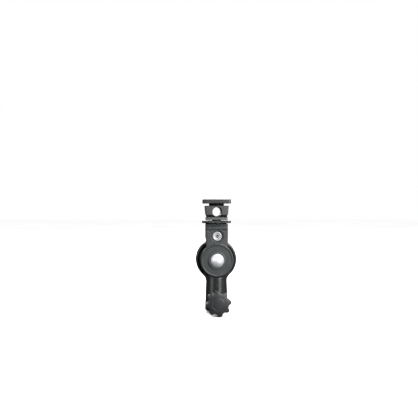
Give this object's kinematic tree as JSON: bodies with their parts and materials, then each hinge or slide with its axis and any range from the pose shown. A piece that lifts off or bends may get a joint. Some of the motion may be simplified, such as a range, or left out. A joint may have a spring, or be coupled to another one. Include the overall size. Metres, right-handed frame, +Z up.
{
  "type": "umbrella swivel bracket",
  "caption": "Light-stand bracket: clamping stand socket, lever-locked tilt joint, and a swivelling head with an umbrella hole and a cold shoe.",
  "frame": {"origin": "centre of the stand socket's open mouth, at the bottom of the bracket", "axes": "+Z up along the socket's bore; the tilt joint turns about Y, with the domed bolt and the star knob facing -Y; +X to the right seen from the front"},
  "size_m": [0.043, 0.0678, 0.1171],
  "materials": {
    "black_casting": "powder-coated black, semi-gloss",
    "grey_casting": "fine-textured grey coating",
    "black_anodised": "black anodised, satin",
    "moulded_black": "moulded, fine grain",
    "polished_steel": "polished, nickel plated",
    "dark_steel": "black oxide",
    "zinc_steel": "zinc plated",
    "brass": "turned",
    "nylon": "natural",
    "black_rubber": "matt",
    "friction_fibre": "pressed fibre"
  },
  "bodies": {
    "base": {"base_casting": "black_casting", "knob_thread_insert": "brass", "pivot_bush": "nylon", "friction_disc": "friction_fibre", "thrust_washer": "zinc_steel"},
    "stand_clamp_pad": {"stand_pad": "brass"},
    "stand_clamp_knob": {"stand_screw": "zinc_steel", "star_knob": "moulded_black"},
    "arm": {"tilt_arm": "grey_casting", "pivot_bolt": "polished_steel", "pivot_washer": "grey_casting", "stud_lock_screw": "polished_steel", "spring_washer": "dark_steel"},
    "lever_nut": {"lever_insert": "zinc_steel", "lever_screw": "dark_steel", "lever_spring": "polished_steel"},
    "lever": {"lever_handle": "moulded_black"},
    "head": {"head_stud": "zinc_steel", "swivel_plate": "black_anodised", "grip_pad": "black_rubber", "umbrella_block": "black_anodised", "head_screws": "dark_steel", "shoe_spacer": "black_anodised", "cold_shoe": "black_anodised", "shoe_spring": "polished_steel", "shoe_screws": "dark_steel"},
    "wheel_washer": {"swivel_washer": "moulded_black"},
    "wheel": {"lock_wheel": "black_anodised"},
    "umbrella_clamp_tip": {"umbrella_tip": "nylon"},
    "umbrella_clamp_screw": {"umbrella_screw": "dark_steel"}
  },
  "joints": [
    {"name": "tilt", "type": "hinge", "parent": "base", "child": "arm", "pos_m": [0, 0, 0.053], "axis": [0, 1, 0], "range_deg": [-90, 90]},
    {"name": "lever_turn", "type": "hinge", "parent": "arm", "child": "lever_nut", "pos_m": [0, 0, 0.053], "axis": [0, 1, 0], "range_deg": [0, 120]},
    {"name": "lever_lift", "type": "slide", "parent": "lever_nut", "child": "lever", "axis": [0, 1, 0], "range_m": [0, 0.0033], "stiffness_N_per_m": 800, "springref_m": -0.003, "deforming": ["lever_spring"]},
    {"name": "swivel", "type": "hinge", "parent": "arm", "child": "head", "pos_m": [0, 0, 0.101], "axis": [0, 0, 1], "continuous": true},
    {"name": "wheel_lift", "type": "slide", "parent": "head", "child": "wheel_washer", "axis": [0, 0, 1], "range_m": [0, 0.00075]},
    {"name": "wheel_turn", "type": "hinge", "parent": "wheel_washer", "child": "wheel", "pos_m": [0, 0, 0.0925], "axis": [0, 0, 1], "range_deg": [0, 180.5]},
    {"name": "umbrella_press", "type": "slide", "parent": "head", "child": "umbrella_clamp_tip", "axis": [-1, 0, 0], "range_m": [0, 0.0016]},
    {"name": "umbrella_turn", "type": "hinge", "parent": "umbrella_clamp_tip", "child": "umbrella_clamp_screw", "pos_m": [0.008, 0, 0.1031], "axis": [-1, 0, 0], "range_deg": [0, 721]},
    {"name": "stand_press", "type": "slide", "parent": "base", "child": "stand_clamp_pad", "axis": [0, 1, 0], "range_m": [0, 0.00208]},
    {"name": "stand_turn", "type": "hinge", "parent": "stand_clamp_pad", "child": "stand_clamp_knob", "pos_m": [0, -0.02, 0.0117], "axis": [0, 1, 0], "range_deg": [0, 600]}
  ],
  "couplings": [
    {"joint": "wheel_turn", "follows": "wheel_lift", "rad_per_m": 4188.8},
    {"joint": "umbrella_turn", "follows": "umbrella_press", "rad_per_m": 7854},
    {"joint": "stand_turn", "follows": "stand_press", "rad_per_m": 5026.5}
  ]
}
